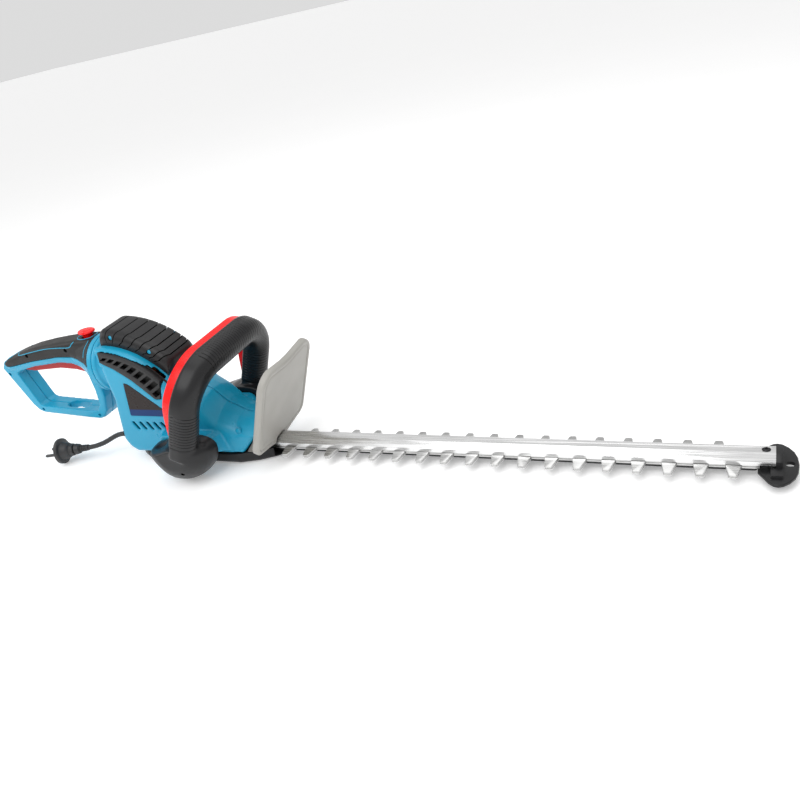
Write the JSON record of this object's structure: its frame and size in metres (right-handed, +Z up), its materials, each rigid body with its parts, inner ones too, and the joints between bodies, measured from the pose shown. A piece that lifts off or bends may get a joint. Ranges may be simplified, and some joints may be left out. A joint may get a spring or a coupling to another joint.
{
  "type": "hedge trimmer",
  "caption": "Corded electric hedge trimmer with a double-sided toothed blade, a hand guard, a bail front handle and a swivelling rear loop handle.",
  "frame": {"origin": "middle of the base plate's flat underside, on the plane between the two blades' sides", "axes": "+X along the blade towards its tip, +Y to the operator's left, +Z up"},
  "size_m": [1.08, 0.212, 0.2008],
  "materials": {
    "cyan_shell": "moulded, satin gloss",
    "black_plastic": "moulded, fine texture",
    "soft_grip": "soft overmould",
    "red_plastic": "moulded, glossy",
    "label_film": "printed film",
    "guard_plastic": "smoke grey, satin",
    "blade_steel": "ground",
    "machine_steel": "machined",
    "case_metal": "cast, grey",
    "bar_aluminium": "extruded, brushed",
    "black_steel": "black oxide",
    "winding_copper": "enamelled copper wire on steel",
    "brush_brass": "plain",
    "cord_rubber": "matt",
    "pin_metal": "plated"
  },
  "bodies": {
    "body": {"base_plate": "black_plastic", "blade_bar": "bar_aluminium", "blade_bolt_1": "black_steel", "blade_bolt_2": "black_steel", "blade_bolt_3": "black_steel", "blade_bolt_4": "black_steel", "blade_bolt_5": "black_steel", "blade_bolt_6": "black_steel", "brush_holder_left": "brush_brass", "brush_holder_right": "brush_brass", "cable_gland": "cord_rubber", "front_handle": "black_plastic", "gear_bearing": "machine_steel", "gear_case": "case_metal", "hand_guard": "guard_plastic", "housing_left": "cyan_shell", "housing_right": "cyan_shell", "label_left": "label_film", "label_right": "label_film", "mains_cord": "cord_rubber", "motor_bearing_lower": "machine_steel", "motor_bearing_upper": "machine_steel", "motor_cover": "black_plastic", "motor_stator": "winding_copper", "plug_body": "cord_rubber", "plug_pin_1": "pin_metal", "plug_pin_2": "pin_metal", "side_grille_left": "black_plastic", "side_grille_right": "black_plastic", "support_rail": "black_steel", "tip_guard": "black_plastic", "tip_screw": "black_steel", "bar_switch": "black_plastic"},
    "rear_handle": {"rear_handle_left": "cyan_shell", "rear_handle_right": "cyan_shell", "rear_grip": "soft_grip", "swivel_collar": "cyan_shell", "trigger_pin": "machine_steel", "mains_switch": "black_plastic"},
    "trigger": {"trigger": "red_plastic"},
    "release_button": {"release_button": "red_plastic"},
    "switch_bar": {"switch_bar": "red_plastic"},
    "upper_blade": {"upper_blade": "blade_steel"},
    "lower_blade": {"lower_blade": "blade_steel"},
    "motor_rotor": {"motor_armature": "winding_copper", "motor_fan": "black_plastic", "motor_pinion": "machine_steel"},
    "gear_train": {"drive_gear": "machine_steel", "cam_shaft": "machine_steel"}
  },
  "joints": [
    {"name": "handle_swivel", "type": "hinge", "parent": "body", "child": "rear_handle", "pos_m": [-0.1377, 0, 0.142], "axis": [1, 0, 0], "range_deg": [-90, 90]},
    {"name": "trigger_squeeze", "type": "hinge", "parent": "rear_handle", "child": "trigger", "pos_m": [-0.19, 0, 0.147], "axis": [0, 1, 0], "range_deg": [0, 4], "stiffness_Nm_per_rad": 4},
    {"name": "release_push", "type": "slide", "parent": "rear_handle", "child": "release_button", "axis": [0, 0, -1], "range_m": [0, 0.003], "stiffness_N_per_m": 800},
    {"name": "bar_squeeze", "type": "hinge", "parent": "body", "child": "switch_bar", "pos_m": [0.01522, 0, 0.07783], "axis": [0, 1, 0], "range_deg": [0, 3.5], "stiffness_Nm_per_rad": 12},
    {"name": "upper_stroke", "type": "slide", "parent": "body", "child": "upper_blade", "axis": [1, 0, 0], "range_m": [-0.008, 0.008]},
    {"name": "lower_stroke", "type": "slide", "parent": "body", "child": "lower_blade", "axis": [1, 0, 0], "range_m": [-0.008, 0.008]},
    {"name": "motor_spin", "type": "hinge", "parent": "body", "child": "motor_rotor", "pos_m": [-0.07, 0, 0.09], "axis": [0, 0, 1], "continuous": true},
    {"name": "gear_spin", "type": "hinge", "parent": "body", "child": "gear_train", "pos_m": [-0.02975, 0, 0.025], "axis": [0, 0, 1], "continuous": true}
  ],
  "couplings": [
    {"joint": "lower_stroke", "follows": "upper_stroke", "ratio": -1},
    {"joint": "gear_spin", "follows": "motor_spin", "ratio": -0.175}
  ]
}
